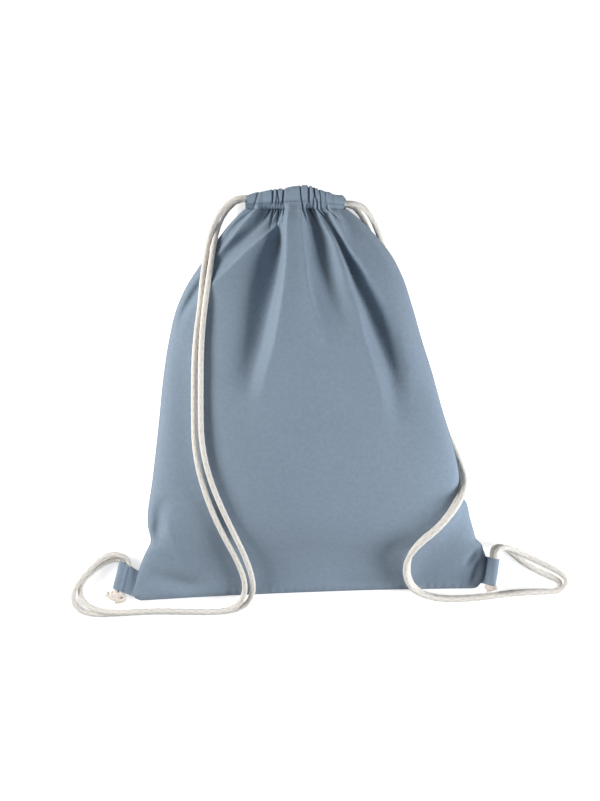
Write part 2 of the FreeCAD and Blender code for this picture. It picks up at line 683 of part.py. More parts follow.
def make_drawstring_passes():
    front_height = f"{CASING_THICK} * 1.5 + {cell('mouth_gap')}"
    back_height = f"{CASING_THICK} / 2"
    right_turn = f"({MOUTH_RIGHT} - {TURN_REACH})"
    left_turn = f"({MOUTH_LEFT} + {TURN_REACH})"
    for side, lift, start, end in (
        ("left", LEFT_CORD_LIFT, MOUTH_LEFT, right_turn),
        ("right", RIGHT_CORD_LIFT, left_turn, MOUTH_RIGHT),
    ):
        make_pass(f"{side}_cord_front_pass", lift, front_height, start, end)
        make_pass(f"{side}_cord_back_pass", lift, back_height, start, end)
    make_turn("left_cord_turn", LEFT_CORD_LIFT, right_turn, "right")
    make_turn("right_cord_turn", RIGHT_CORD_LIFT, left_turn, "left")


# ---------------------------------------------------------------- sewing thread
def make_side_seam(side):
    """Thread along the edge where the two panels meet, from the foot to the neck."""
    outward = -1 if side == "left" else 1
    radius = size("thread_dia") / 2
    rings = []
    for section in sections:
        edge = getattr(section, side)
        along = (section.right - section.left).normalize()
        beside = radius + size("seam_thread_gap")
        height = section.seam - size("seam_thread_drop")
        centre = Vector(edge.x, edge.y, height) + along * (outward * beside)
        rings.append(Part.Wire([Part.Circle(centre, along.cross(Vector(0, 0, 1)), radius).toShape()]))
    keep(feature(f"{side}_seam_shape", Part.makeLoft(rings, True)), f"{side}_side_seam_thread")


def rod_between(name, start, end, radius_expression):
    rod = doc.addObject("Part::Cylinder", f"{name}_shape")
    rod.Height = start.distanceToPoint(end)
    rod.setExpression("Radius", radius_expression)
    rod.Placement = FreeCAD.Placement(start, FreeCAD.Rotation(Vector(0, 0, 1), end - start))
    return rod


def make_straight_threads(tabs):
    radius = size("thread_dia") / 2
    half_thread = f"{cell('thread_dia')} / 2"
    lift = radius + size("stitch_lift")
    inset = size("stitch_inset")

    foot = sections[0]
    along = (foot.right - foot.left).normalize()
    down = Vector(along.y, -along.x, 0)
    raised = Vector(0, 0, foot.seam)
    below = down * (radius + size("seam_thread_gap"))
    start = foot.left + along * inset + below + raised
    end = foot.right - along * inset + below + raised
    keep(rod_between("bottom_seam_thread", start, end, half_thread), "bottom_seam_thread")

    tops = (("front", 2 * casing_thick + size("mouth_gap")), ("back", casing_thick))
    for which, height in tops:
        start = Vector(mouth_left + inset, neck_y + inset, height + lift)
        end = Vector(mouth_right - inset, neck_y + inset, height + lift)
        name = f"{which}_casing_thread"
        keep(rod_between(name, start, end, half_thread), name)

    half = cord_radius + size("tab_room") + size("tab_wall")
    for tab in tabs:
        reach = size("tab_swell") + inset
        start = tab.world(reach, inset, half + lift)
        end = tab.world(reach, size("tab_length") - inset, half + lift)
        name = f"{tab.side}_tab_thread"
        keep(rod_between(name, start, end, half_thread), name)


# ---------------------------------------------------------------- build, check and write
def write_parts():
    doc.recompute()
    faulty = [item.Label for item in doc.Objects if {"Invalid", "Error"} & set(item.State)]
    assert not faulty, f"failed objects: {faulty}"
    for made in kept:
        assert not made.Shape.isNull(), f"{made.Label} is empty"
        assert made.Shape.isValid(), f"{made.Label} is not valid"
        assert made.Shape.Volume > 0, f"{made.Label} has no volume"
    os.makedirs("parts", exist_ok=True)
    for made in kept:
        made.Shape.exportStep(f"parts/{made.Label}.step")
    print(f"{len(kept)} sub-parts written")


make_panels()
left_place = TabPlace("left")
right_place = TabPlace("right")
make_casing("front_casing", FRONT_FLOOR, FRONT_FLOOR)
make_casing("back_casing", "0", f"({CASING_THICK} - {cell('casing_wall')})")
make_tab("left_tab", left_place)
make_tab("right_tab", right_place)
make_drawstring_passes()
make_straps(left_place, right_place)
for place_of_tab in (left_place, right_place):
    make_tab_ends(f"{place_of_tab.side}_cord_tab_ends", place_of_tab)
    make_knot(f"{place_of_tab.side}_knot", place_of_tab)
make_side_seam("left")
make_side_seam("right")
make_straight_threads((left_place, right_place))
write_parts()
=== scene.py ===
"""Looks of the drawstring backpack: cloth, cords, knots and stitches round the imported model."""
import json
import math

import bpy
import numpy as np
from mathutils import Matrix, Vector


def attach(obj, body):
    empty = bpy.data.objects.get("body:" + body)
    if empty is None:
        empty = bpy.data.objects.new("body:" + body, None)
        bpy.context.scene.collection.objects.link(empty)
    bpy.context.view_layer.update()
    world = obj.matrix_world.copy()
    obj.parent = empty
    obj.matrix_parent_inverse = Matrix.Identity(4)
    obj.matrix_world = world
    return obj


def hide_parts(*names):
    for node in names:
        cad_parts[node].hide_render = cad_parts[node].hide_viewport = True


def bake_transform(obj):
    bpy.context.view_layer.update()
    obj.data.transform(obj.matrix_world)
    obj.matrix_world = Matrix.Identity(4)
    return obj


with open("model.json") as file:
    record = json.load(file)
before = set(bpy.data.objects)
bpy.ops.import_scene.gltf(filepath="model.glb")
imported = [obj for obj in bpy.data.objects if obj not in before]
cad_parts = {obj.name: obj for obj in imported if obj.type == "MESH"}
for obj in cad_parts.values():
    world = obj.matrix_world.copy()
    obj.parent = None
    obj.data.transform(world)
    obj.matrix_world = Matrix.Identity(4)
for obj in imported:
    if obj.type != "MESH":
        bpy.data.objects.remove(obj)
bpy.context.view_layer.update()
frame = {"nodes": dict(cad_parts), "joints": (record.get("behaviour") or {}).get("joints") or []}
MM = 0.001
CORD_RADIUS = 3
PANEL_THICKNESS = 0.7
HEM_THICKNESS = 0.6
# The lowest that the front's outer face and the back's come to the floor.
FRONT_LOWEST = 1.8
BACK_LOWEST = 0.9
# Each panel as it is cut and sewn: width and length without the hem.
PANEL_WIDTH = 370
PANEL_LENGTH = 434
# The gathered mouth: its left end, its width, and how high its stitches lie (y).
MOUTH_LEFT = -67
MOUTH_WIDTH = 114
STITCH_Y = 199.3


# ------------------------------------------------------------------ materials
class Nodes:
    """A material's node tree, with short calls to add and join nodes."""

    def __init__(self, name, colour, roughness, sheen=0.0):
        self.material = bpy.data.materials.new(name)
        self.material.use_nodes = True
        self.tree = self.material.node_tree
        self.shader = self.tree.nodes["Principled BSDF"]
        self.shader.inputs["Base Color"].default_value = (*colour, 1)
        self.shader.inputs["Roughness"].default_value = roughness
        self.shader.inputs["Sheen Weight"].default_value = sheen
        self.shader.inputs["Sheen Roughness"].default_value = 0.6
        self.shader.inputs["Specular IOR Level"].default_value = 0.25

    def add(self, kind, **inputs):
        node = self.tree.nodes.new(kind)
        for name, value in inputs.items():
            socket = node.inputs[name.replace("_", " ")]
            if isinstance(value, bpy.types.NodeSocket):
                self.join(value, socket)
            else:
                socket.default_value = value
        return node

    def join(self, start, end):
        self.tree.links.new(start, end)

    def math(self, operation, first, second):
        node = self.tree.nodes.new("ShaderNodeMath")
        node.operation = operation
        for socket, value in zip(node.inputs, (first, second)):
            if isinstance(value, bpy.types.NodeSocket):
                self.join(value, socket)
            else:
                socket.default_value = value
        return node.outputs[0]

    def ramp(self, factor, low, high, dark, light):
        """Grey from dark to light as the factor goes from low to high."""
        node = self.add("ShaderNodeMapRange", Value=factor)
        for name, value in (("From Min", low), ("From Max", high), ("To Min", dark), ("To Max", light)):
            node.inputs[name].default_value = value
        return node.outputs[0]

    def tint(self, colour, factor):
        """The colour times a factor that varies over the surface."""
        node = self.tree.nodes.new("ShaderNodeMix")
        node.data_type = "RGBA"
        node.blend_type = "MULTIPLY"
        node.inputs[0].default_value = 1
        node.inputs[6].default_value = (*colour, 1)
        grey = self.tree.nodes.new("ShaderNodeCombineColor")
        for socket in grey.inputs:
            self.join(factor, socket)
        self.join(grey.outputs[0], node.inputs[7])
        self.join(node.outputs[2], self.shader.inputs["Base Color"])

    def bump(self, height, strength, distance):
        node = self.add("ShaderNodeBump", Height=height, Strength=strength, Distance=distance)
        self.join(node.outputs[0], self.shader.inputs["Normal"])


def woven_cotton(name, colour, thread=0.00055):
    """Plain-woven cotton: threads over and under each other, slubs, and a faint uneven dye."""
    made = Nodes(name, colour, 0.88, 0.12)
    place = made.tree.nodes.new("ShaderNodeTexCoord")
    split = made.add("ShaderNodeSeparateXYZ", Vector=place.outputs["UV"])
    turns = math.pi / thread
    warp = made.math("SINE", made.math("MULTIPLY", split.outputs[0], turns), 0)
    weft = made.math("SINE", made.math("MULTIPLY", split.outputs[1], turns), 0)
    weave = made.math("MULTIPLY", warp, weft)
    slub = made.add("ShaderNodeTexNoise", Vector=place.outputs["Object"], Scale=260.0, Detail=3.0)
    fibre = made.add("ShaderNodeTexNoise", Vector=place.outputs["Object"], Scale=1900.0, Detail=2.0)
    dye = made.add("ShaderNodeTexNoise", Vector=place.outputs["Object"], Scale=9.0, Detail=3.0)
    shade = made.math("MULTIPLY", made.ramp(slub.outputs[0], 0.3, 0.7, 0.95, 1.05),
                      made.ramp(dye.outputs[0], 0.3, 0.7, 0.97, 1.03))
    shade = made.math("MULTIPLY", shade, made.ramp(weave, -1, 1, 0.95, 1.04))
    made.tint(colour, shade)
    height = made.math("ADD", weave, made.math("MULTIPLY", slub.outputs[0], 2.5))
    height = made.math("ADD", height, made.math("MULTIPLY", fibre.outputs[0], 1.2))
    made.bump(height, 0.35, 0.00012)
    return made.material


def cotton_cord(name, colour):
    """Braided cotton: the strands' own relief is in the mesh, and its hollows are darkened a little with
    painted shade.
    """
    made = Nodes(name, colour, 0.9, 0.2)
    place = made.tree.nodes.new("ShaderNodeTexCoord")
    relief = made.tree.nodes.new("ShaderNodeAttribute")
    relief.attribute_name = "relief"
    fibre = made.add("ShaderNodeTexNoise", Vector=place.outputs["Object"], Scale=1400.0, Detail=3.0)
    soil = made.add("ShaderNodeTexNoise", Vector=place.outputs["Object"], Scale=35.0, Detail=2.0)
    # Painted shade: where the braid's relief is low, in its hollows, the colour is darkened down to 0.72.
    shade = made.math("MULTIPLY", made.ramp(relief.outputs["Fac"], 0, 1, 0.72, 1.04),
                      made.ramp(soil.outputs[0], 0.3, 0.7, 0.96, 1.02))
    shade = made.math("MULTIPLY", shade, made.ramp(fibre.outputs[0], 0.3, 0.7, 0.93, 1.05))
    made.tint(colour, shade)
    made.bump(fibre.outputs[0], 0.4, 0.00015)
    return made.material


def sewing_thread(name, colour):
    made = Nodes(name, colour, 0.6, 0.1)
    place = made.tree.nodes.new("ShaderNodeTexCoord")
    twist = made.add("ShaderNodeTexNoise", Vector=place.outputs["Object"], Scale=2200.0, Detail=2.0)
    made.tint(colour, made.ramp(twist.outputs[0], 0.3, 0.7, 0.8, 1.15))
    made.bump(twist.outputs[0], 0.4, 0.0001)
    return made.material


CLOTH = woven_cotton("cloth", (0.238, 0.305, 0.385))
CORD = cotton_cord("cord", (0.83, 0.79, 0.73))
FRAYED = cotton_cord("cord_end", (0.86, 0.775, 0.7))
THREAD = sewing_thread("thread", (0.155, 0.21, 0.285))


# ------------------------------------------------------------------ mesh helpers
def surface(name, points, uv, closed=False, material=CLOTH, relief=None):
    """A mesh over a grid of points in millimetres; a closed grid joins its last column to its first."""
    rows, columns = points.shape[:2]
    mesh = bpy.data.meshes.new(name)
    index = np.arange(rows * columns).reshape(rows, columns)
    after = np.roll(index, -1, axis=1) if closed else index[:, 1:]
    here = index if closed else index[:, :-1]
    quads = np.stack([here[:-1], after[:-1], after[1:], here[1:]], axis=-1).reshape(-1, 4)
    mesh.from_pydata((points.reshape(-1, 3) * MM).tolist(), [], quads.tolist())
    layer = mesh.uv_layers.new(name="UVMap")
    layer.data.foreach_set("uv", (uv.reshape(-1, 2)[quads.reshape(-1)] * MM).astype(np.float32).ravel())
    if relief is not None:
        attribute = mesh.attributes.new("relief", "FLOAT", "POINT")
        attribute.data.foreach_set("value", relief.astype(np.float32).ravel())
    mesh.polygons.foreach_set("use_smooth", np.ones(len(quads), dtype=bool))
    mesh.materials.append(material)
    made = bpy.data.objects.new(name, mesh)
    bpy.context.scene.collection.objects.link(made)
    return made


def thicken(made, thickness):
    """Gives a cloth piece its thickness, inward from its outer face."""
    wall = made.modifiers.new("wall", "SOLIDIFY")
    wall.thickness = thickness * MM
    wall.offset = -1
    return made


def through(places, table):
    """Smooth values at these places, through a table's rows: place, value, value, ..."""
    table = np.array(table, float)
    known, values = table[:, 0], table[:, 1:]
    slope = np.gradient(values, known, axis=0)
    number = np.clip(np.searchsorted(known, places, side="right") - 1, 0, len(known) - 2)
    run = (known[number + 1] - known[number])[:, None]
    t = (np.asarray(places) - known[number])[:, None] / run
    start, end = values[number], values[number + 1]
    return ((1 + 2 * t) * (1 - t) ** 2 * start + t * (1 - t) ** 2 * run * slope[number]
            + t * t * (3 - 2 * t) * end + t * t * (t - 1) * run * slope[number + 1])


def smooth_line(points, count):
    points = np.array(points, float)
    reach = np.r_[0, np.cumsum(np.linalg.norm(np.diff(points[:, :2], axis=0), axis=1))]
    return through(np.linspace(0, reach[-1], count), np.c_[reach, points])


def noise(x, y, seed):
    """A smooth wandering value from about -1 to 1, the same each run."""
    phase = np.random.default_rng(seed).uniform(0, 6.283, 6)
    return (np.sin(x + phase[0] + 1.3 * np.sin(0.7 * y + phase[1]))
            + 0.6 * np.sin(1.9 * x + 1.1 * y + phase[2])
            + 0.5 * np.sin(-1.4 * x + 2.3 * y + phase[3])) / 2.1


# ------------------------------------------------------------------ the bag's shape
# Side edges, from the bottom seam to the mouth: share of the way up, x, y (mm).
LEFT_EDGE = [
    (0, -180, -225.5), (0.018, -187.5, -221), (0.05, -184.2, -203.8), (0.085, -179.9, -189.7),
    (0.125, -173, -173), (0.152, -167.2, -161.3), (0.19, -169.8, -145), (0.22, -170, -133),
    (0.305, -164.6, -94.8), (0.46, -157, -29.4), (0.56, -152.6, 14.2), (0.66, -146.1, 57.8),
    (0.735, -138.4, 90.5), (0.795, -127.5, 115.5), (0.85, -112.3, 139.5), (0.905, -98.1, 161.3),
    (0.955, -81.8, 183.1), (1, -67, 199.3),
]
RIGHT_EDGE = [
    (0, 186, -212), (0.018, 190, -208.5), (0.085, 197, -178), (0.105, 193.4, -169.5),
    (0.12, 191.6, -163.4), (0.133, 186.4, -159.6), (0.16, 183, -150), (0.2, 178, -134),
    (0.235, 173.8, -117.5), (0.255, 168, -110),
    (0.305, 166.3, -89.4), (0.375, 160.2, -58.9), (0.47, 147.2, -16.4), (0.56, 136.3, 22.9),
    (0.65, 125.4, 57.8), (0.745, 114.5, 95.9), (0.83, 103.6, 128.6), (0.92, 82.8, 163.5),
    (0.965, 62, 186), (1, 47, 199.3),
]
# Share of the way up, height of the side seams, height of the crown, how flat the crown is, and how
# far in from each side the back lies on the floor (mm).
HEIGHTS = [
    (0, 3, 4.8, 0.4, 12), (0.04, 4.6, 13, 0.6, 18), (0.098, 6.5, 26, 0.8, 25), (0.183, 16, 51, 0.85, 33),
    (0.307, 25, 69, 0.85, 38), (0.461, 29, 75.5, 0.85, 42), (0.661, 29, 71.5, 0.85, 42),
    (0.845, 25, 53.5, 0.8, 36), (0.956, 18, 36.5, 0.65, 25), (1, 14.1, 28, 0.4, 14),
]

# Folds of the front: each is a line of x, y, height, width to its left, width to its right (mm),
# followed from the mouth down. Ridges have sharp crests. Valleys are round, and so is the one
# low rise among them, which carries the right cords.
RIDGES = [
    [(-17, 207, 4, 5, 14), (-19.5, 180, 6, 5, 16), (-21, 148, 7.5, 6, 18), (-23, 121, 8, 6, 20),
     (-26, 89, 7.5, 8, 22), (-32, 54, 6, 9, 26), (-40, 21, 4, 11, 28), (-48, -25, 0, 12, 28)],
    [(-4.4, 207, 3, 8, 3), (-3.5, 175, 3.5, 9, 3.5), (-0.5, 148, 3.5, 10, 3.5), (4.4, 107, 4, 10, 4),
     (14, 74, 3.2, 10, 5), (31, 38, 0, 10, 6)],
    [(12, 205, 3.5, 9, 3), (18.5, 186, 5, 11, 3.5), (27, 170, 6, 12, 3.5), (35, 156, 6.5, 14, 3.5),
     (46, 125, 6.5, 16, 4), (54.5, 96, 6, 17, 5), (63, 58, 4.5, 18, 6), (77, 14, 2.5, 18, 9),
     (88, -46, 0, 18, 12)],
    [(26, 205, 2.5, 6, 5), (30, 190, 4, 6, 7), (41, 167, 4.5, 7, 9), (62, 134, 5, 8, 12),
     (84, 98, 5, 9, 15), (100, 63, 5, 11, 18), (109, 30, 3.5, 13, 20), (113, -12, 0, 16, 20)],
    [(33, 203, 2, 3, 3), (38, 184, 2.8, 3, 4), (47, 160, 0, 4, 5)],
    [(44, 204, 1.5, 5, 6), (60, 180, 2.2, 6, 8), (86, 146, 1.8, 8, 10), (104, 118, 0, 9, 12)],
    [(-21, 192, 2, 3.5, 7), (-34, 177, 5, 3, 10), (-47, 165, 6, 3, 12), (-62, 152, 5.5, 3.5, 14),
     (-82, 132, 4.5, 4, 16), (-99, 116, 3, 6, 16), (-116, 98, 0, 8, 16)],
    [(-46, 206, 2, 4, 5), (-58, 193, 4.5, 3.5, 8), (-71, 178, 5, 3.5, 9), (-84, 161, 4.2, 4, 9),
     (-97, 146, 2.5, 5, 9), (-108, 132, 0, 6, 9)],
    [(-156, -122, 0, 10, 14), (-147, -145, 3, 10, 18), (-138, -167, 4, 11, 20), (-131, -188, 3, 11, 18),
     (-126, -208, 0, 9, 14)],
]
VALLEYS = [
    [(-24, 205, -3.5, 8, 3.5), (-26.5, 181, -7.5, 12, 4), (-28.5, 148, -12, 16, 5),
     (-31.5, 121, -12.5, 19, 5.5), (-38, 89, -10.5, 20, 6), (-46.5, 54, -8, 19, 8),
     (-57, 21, -5, 19, 10), (-66, -20, 0, 20, 12)],
    [(4, 206, -4, 4, 6), (9, 186, -8, 6, 9), (16, 166, -9.5, 9, 11), (21, 142, -8, 11, 12),
     (27, 114, -5.5, 11, 13), (38, 84, -3, 12, 14), (50, 50, 0, 14, 16)],
    [(24, 192, -3, 4, 3.5), (35, 168, -6, 4, 4), (42, 150, -9, 5, 6), (50, 133, -11.5, 6, 9),
     (57, 115, -12, 8, 12), (66, 96, -11.5, 9, 14), (81, 56, -10, 10, 15), (93, 14, -6, 12, 16),
     (101, -25, -2.5, 13, 18), (106, -65, 0, 14, 20)],
    [(-36, 203, -2, 5, 5), (-44, 190, -3.5, 7, 5), (-59, 173, -4.5, 10, 6), (-77, 156, -4.5, 10, 6),
     (-94, 140, -3, 9, 6), (-109, 125, 0, 8, 7)],
    [(-56, 204, -2, 4, 4), (-68, 190, -4, 6, 4.5), (-82, 174, -4, 6, 5), (-96, 156, -2.5, 6, 5),
     (-105, 144, 0, 6, 5)],
    [(-170, -158, -4, 7, 7), (-161, -146, -5, 9, 8), (-157, -128, -3, 9, 9), (-155, -108, 0, 10, 10)],
    [(174, -104, 0, 12, 10), (158, -124, 4.4, 15, 12), (138, -146, 5, 16, 13), (121, -161, 4.4, 16, 13),
     (109, -177, 3, 14, 12), (106, -194, 0, 12, 12)],
    [(194, -164, 0, 3, 3), (186, -171, -1.6, 3, 3.5), (179, -180, -2, 3.5, 4), (173, -190, 0, 4, 4)],
    [(192, -178, 0, 4, 5), (187, -190, -2.4, 5, 6), (184, -202, -2, 5, 6), (180, -210, 0, 5, 6)],
    [(-165, -196, -1.5, 8, 8), (-140, -205, -3.5, 10, 8), (-105, -212, 0, 12, 8)],
    [(-104, 128, -3, 6, 5), (-118, 108, -5, 6, 5), (-131, 88, -3.5, 5, 5), (-140, 66, 0, 5, 5)],
    [(20, -203, 0, 10, 6), (60, -205, -1.6, 12, 6), (110, -206, 0, 12, 6)],
    [(-140, 60, 0, 10, 10), (-128, 20, -1.5, 16, 14), (-122, -40, -2, 18, 16), (-112, -100, 0, 18, 16)],
]
FOLD_FADE = 6
RIDGE_STRENGTH = 1.5
VALLEY_STRENGTH = 1.45
GATHER_STRENGTH = 1.25
# Creases between the gathers of the mouth: x, depth, width, reach below the stitches (mm), lean.
CREASES = [
    (-55.5, 2.6, 1.7, 12, -0.35), (-47, 1.3, 2.2, 9, -0.1), (-37.2, 3.2, 1, 9, -0.15),
    (-34.2, 3.8, 0.9, 14, 0.1), (-31.2, 3.4, 0.9, 8, -0.1), (-28.4, 4, 1, 17, 0.08),
    (-25.6, 3.4, 0.9, 10, -0.05), (-22.6, 3.8, 1, 22, 0.02), (-3.2, 3.6, 1.1, 20, 0.04),
    (1.2, 3.2, 1, 11, -0.12), (5.2, 3.8, 1.1, 24, 0.08), (9.4, 3.2, 0.9, 12, -0.08),
    (13.4, 3.6, 1.2, 18, 0.14), (16.8, 2.6, 0.9, 9, 0.1), (24.5, 1.8, 1.6, 14, 0.2), (33, 1.3, 1.8, 9, 0.1),
]


def gathers(x, down, shift=0.0):
    """Height of the gathered cloth, with x as it was at the stitches and down as mm below them."""
    total = np.zeros(np.broadcast(x, down).shape)
    for number, (place, depth, width, reach, lean) in enumerate(CREASES):
        bend = 1.1 * np.sin(down / 7 + number * 1.7) * np.clip(-down / 8, 0, 1)
        middle = place + shift + lean * down + bend
        fade = np.where(down > 0, np.exp(-(down / reach) ** 2), 1)
        total = total - depth * fade * np.exp(-((x - middle) / width) ** 2)
        total = total + 0.25 * depth * fade * np.exp(-((x - middle) / (2.6 * width)) ** 2)
    return total


def fold_height(xy, line, sharp):
    """How much a fold's line raises each place."""
    line = smooth_line(line, 90)
    best = np.full(len(xy), 1e9)
    number = np.zeros(len(xy), int)
    for at in range(len(line)):
        away = (xy[:, 0] - line[at, 0]) ** 2 + (xy[:, 1] - line[at, 1]) ** 2
        nearer = away < best
        best[nearer] = away[nearer]
        number[nearer] = at
    way = np.gradient(line[:, :2], axis=0)
    way /= np.linalg.norm(way, axis=1)[:, None]
    step = xy - line[number, :2]
    across = way[number, 0] * step[:, 1] - way[number, 1] * step[:, 0]
    along = np.abs(np.sum(step * way[number], axis=1))
    # A fold is followed downward, so its left, seen from above, is on the line's right-hand side.
    width = np.where(across < 0, line[number, 3], line[number, 4])
    reach = np.sqrt(best) / width
    if sharp:
        shape = np.exp(-(np.sqrt(reach**2 + 0.03) - 0.1732))
        shape *= np.exp(-(reach / 3.2) ** 2)
    else:
        shape = np.exp(-reach**2)
    shape *= np.exp(-(along / FOLD_FADE) ** 2)
    return line[number, 2] * shape


def bag_grid(columns, rows):
    """Shares of the way up and across, plan places, widths and height values over the bag."""
    share = np.linspace(0, 1, rows)
    left = through(share, LEFT_EDGE)
    right = through(share, RIGHT_EDGE)
    values = through(share, HEIGHTS)
    even = np.linspace(0, 1, columns)
    across = 0.55 * even + 0.45 * (1 - np.cos(math.pi * even)) / 2
    plan = left[:, None, :] + (right - left)[:, None, :] * across[None, :, None]
    # The bottom seam bows up a little between its corners.
    plan[..., 1] += 2.6 * (4 * across * (1 - across))[None, :] * np.exp(-share / 0.06)[:, None]
    width = np.linalg.norm(right - left, axis=1)
    return share, across, plan, width, values


def panel_uv(share, across):
    return np.dstack(np.meshgrid(across * PANEL_WIDTH, share * PANEL_LENGTH))


def front_panel():
    share, across, plan, width, values = bag_grid(330, 380)
    seam, top, power = values[:, 0:1], values[:, 1:2], values[:, 2:3]
    arch = (2 * np.sqrt(np.clip(across * (1 - across), 0, 1)))[None, :] ** power
    arch[:, [0, -1]] = 0
    height = seam + (top - seam) * arch
    xy = plan.reshape(-1, 2)
    folds = np.zeros(len(xy))
    for line in RIDGES:
        folds += RIDGE_STRENGTH * fold_height(xy, line, True)
    for line in VALLEYS:
        folds += VALLEY_STRENGTH * fold_height(xy, line, False)
    folds = folds.reshape(height.shape)
    side = np.minimum(across, 1 - across)[None, :] * width[:, None]
    near_edge = 1 - np.exp(-(side / 9) ** 2)
    wander = noise(plan[..., 0] / 38, plan[..., 1] / 46, 3) * 0.9
    wander += noise(plan[..., 0] / 17, plan[..., 1] / 60, 5) * 0.35
    height += (folds + wander * np.clip((height - 8) / 30, 0, 1)) * near_edge
    mouth_x = MOUTH_LEFT + MOUTH_WIDTH * across[None, :]
    down = (STITCH_Y - plan[..., 1]).clip(0)
    height += gathers(mouth_x, down) * GATHER_STRENGTH * (1 - np.exp(-(side / 5) ** 2))
    # Puckers along the bottom seam.
    rise = share[:, None] * 424
    pucker = np.sin(plan[..., 0] * 0.62 + noise(plan[..., 0] / 9, 0, 8) * 2.2)
    height += 0.35 * pucker * np.exp(-((rise - 5) / 6) ** 2) * near_edge
    height = np.maximum(height, FRONT_LOWEST)
    points = np.dstack([plan, height])
    made = surface("front_panel", points, panel_uv(share, across))
    thicken(made, PANEL_THICKNESS)
    return made, points


def back_panel():
    share, across, plan, width, values = bag_grid(200, 220)
    seam, inset = values[:, 0:1], values[:, 3:4]
    side = np.minimum(across, 1 - across)[None, :] * width[:, None]
    inner = np.clip(side / inset, 0, 1)
    height = BACK_LOWEST + (seam - BACK_LOWEST) * (1 - np.sin(inner * math.pi / 2))
    wave = noise(plan[..., 0] / 24, plan[..., 1] / 31, 11)
    wave = np.maximum(wave, 0) * 1.3
    mouth_x = MOUTH_LEFT + MOUTH_WIDTH * across[None, :]
    gathered = -gathers(mouth_x, (STITCH_Y - plan[..., 1]).clip(0) * 0.6, 2.0)
    height += (wave * np.clip(share * 6, 0, 1)[:, None] + gathered.clip(0)) * inner
    points = np.dstack([plan, height])[:, ::-1]
    made = surface("back_panel_cloth", points, panel_uv(share, across)[:, ::-1])
    return thicken(made, PANEL_THICKNESS)


# ------------------------------------------------------------------ hem casings
# Where the two cords run through the hem (y), and where the tunnel begins and ends (x).
CORDS_Y = 207.3
HEM_LEFT = -64.5
HEM_RIGHT = 44.0
# Outer edge of the gathered hem, left to right: x, y (mm).
HEM_EDGE = [
    (-66, 212.2), (-62, 215), (-53, 218), (-40, 220.4), (-33, 221.9), (-22, 222.4), (-16, 224.2),
    (-9, 225.2), (3, 225.6), (9, 224.2), (16, 221), (27, 217.8), (34, 215.2), (41, 214.2), (45, 209.5),
]


def casing(name, middle, front, panel_edge):
    """A gathered tunnel of cloth: a flat loop, folded at the mouth and sewn down at its stitches."""
    along = np.linspace(HEM_LEFT, HEM_RIGHT, 460)
    turn = np.linspace(-1, 1, 50)
    edge = through(along, HEM_EDGE)[:, 0] - (0 if front else 1.6)
    across = np.abs(turn)
    inward = 1 - across**2.2
    swell = (5.4 + 1.9 * (turn > 0)) * np.sin(math.pi * (0.1 + 0.9 * (1 - across)) ** 0.8) ** 0.5
    flat = np.minimum(1, np.sin(across**0.75 * math.pi / 2) * 1.6)
    y = STITCH_Y - 0.6 + (edge[:, None] - STITCH_Y) * inward[None, :]
    z = middle + (np.sign(turn) * swell * flat)[None, :]
    fold = gathers(along[:, None], STITCH_Y - y, 0.0 if front else 2.0)
    outer = np.clip((turn if front else -turn) * 2 + 0.5, 0.15, 1)[None, :]
    ripple = noise(along[:, None] / 7, y / 9, 21) * 0.35
    z = z + np.sign(turn)[None, :] * (fold * 0.8 * outer + ripple)
    y = y + fold * 0.42 * inward[None, :] ** 4
    x = along[:, None] + noise(along[:, None] / 5, y / 8, 23) * 0.4
    # The ends of the tunnel flare and stand open round the cords.
    for end, way in ((HEM_LEFT, 1), (HEM_RIGHT, -1)):
        near = np.exp(-np.abs(along - end) / 5)[:, None]
        x = x + way * near * np.clip(turn, 0, 1)[None, :] * (2.6 if front else 0.6)
        z = z + near * np.sign(turn)[None, :] * 0.5
    if panel_edge is not None:
        level = np.interp(along, panel_edge[:, 0], panel_edge[:, 2])
        sewn = np.clip((across - 0.72) / 0.28, 0, 1) ** 2
        joint = np.where(turn > 0, sewn, 0)[None, :]
        z = z * (1 - joint) + (level[:, None] + 0.25) * joint
    z = np.maximum(z, 0.35)
    # The upper layer stays clear of the two cords inside.
    cover = middle + 3.9 - 5 * np.clip((np.abs(y - CORDS_Y) - 6.4) / 2.2, 0, 1)
    z = np.where((turn > 0)[None, :], np.maximum(z, cover), z)
    points = np.dstack([x, y, z])
    uv = np.dstack(np.meshgrid(along * 3.4, turn * 27, indexing="ij"))
    made = surface(name, points, uv)
    thicken(made, HEM_THICKNESS)
    return made, points


# ------------------------------------------------------------------ cords
def follow(points):
    """The smooth line of a cord: its points are a NURBS spline's control points."""
    curve = bpy.data.curves.new("route", "CURVE")
    curve.dimensions = "3D"
    curve.resolution_u = 14
    spline = curve.splines.new("NURBS")
    spline.points.add(len(points) - 1)
    for place, point in zip(spline.points, points):
        place.co = (*point, 1)
    spline.order_u = 3
    spline.use_endpoint_u = True
    route = bpy.data.objects.new("route", curve)
    bpy.context.scene.collection.objects.link(route)
    bpy.context.view_layer.update()
    mesh = bpy.data.meshes.new_from_object(route.evaluated_get(bpy.context.evaluated_depsgraph_get()))
    line = np.array([vertex.co for vertex in mesh.vertices])
    bpy.data.meshes.remove(mesh)
    bpy.data.objects.remove(route)
    bpy.data.curves.remove(curve)
    return line


def spaced(line, gap):
    reach = np.r_[0, np.cumsum(np.linalg.norm(np.diff(line, axis=0), axis=1))]
    at = np.linspace(0, reach[-1], max(4, int(reach[-1] / gap) + 1))
    return np.stack([np.interp(at, reach, line[:, axis]) for axis in range(3)], axis=1), at


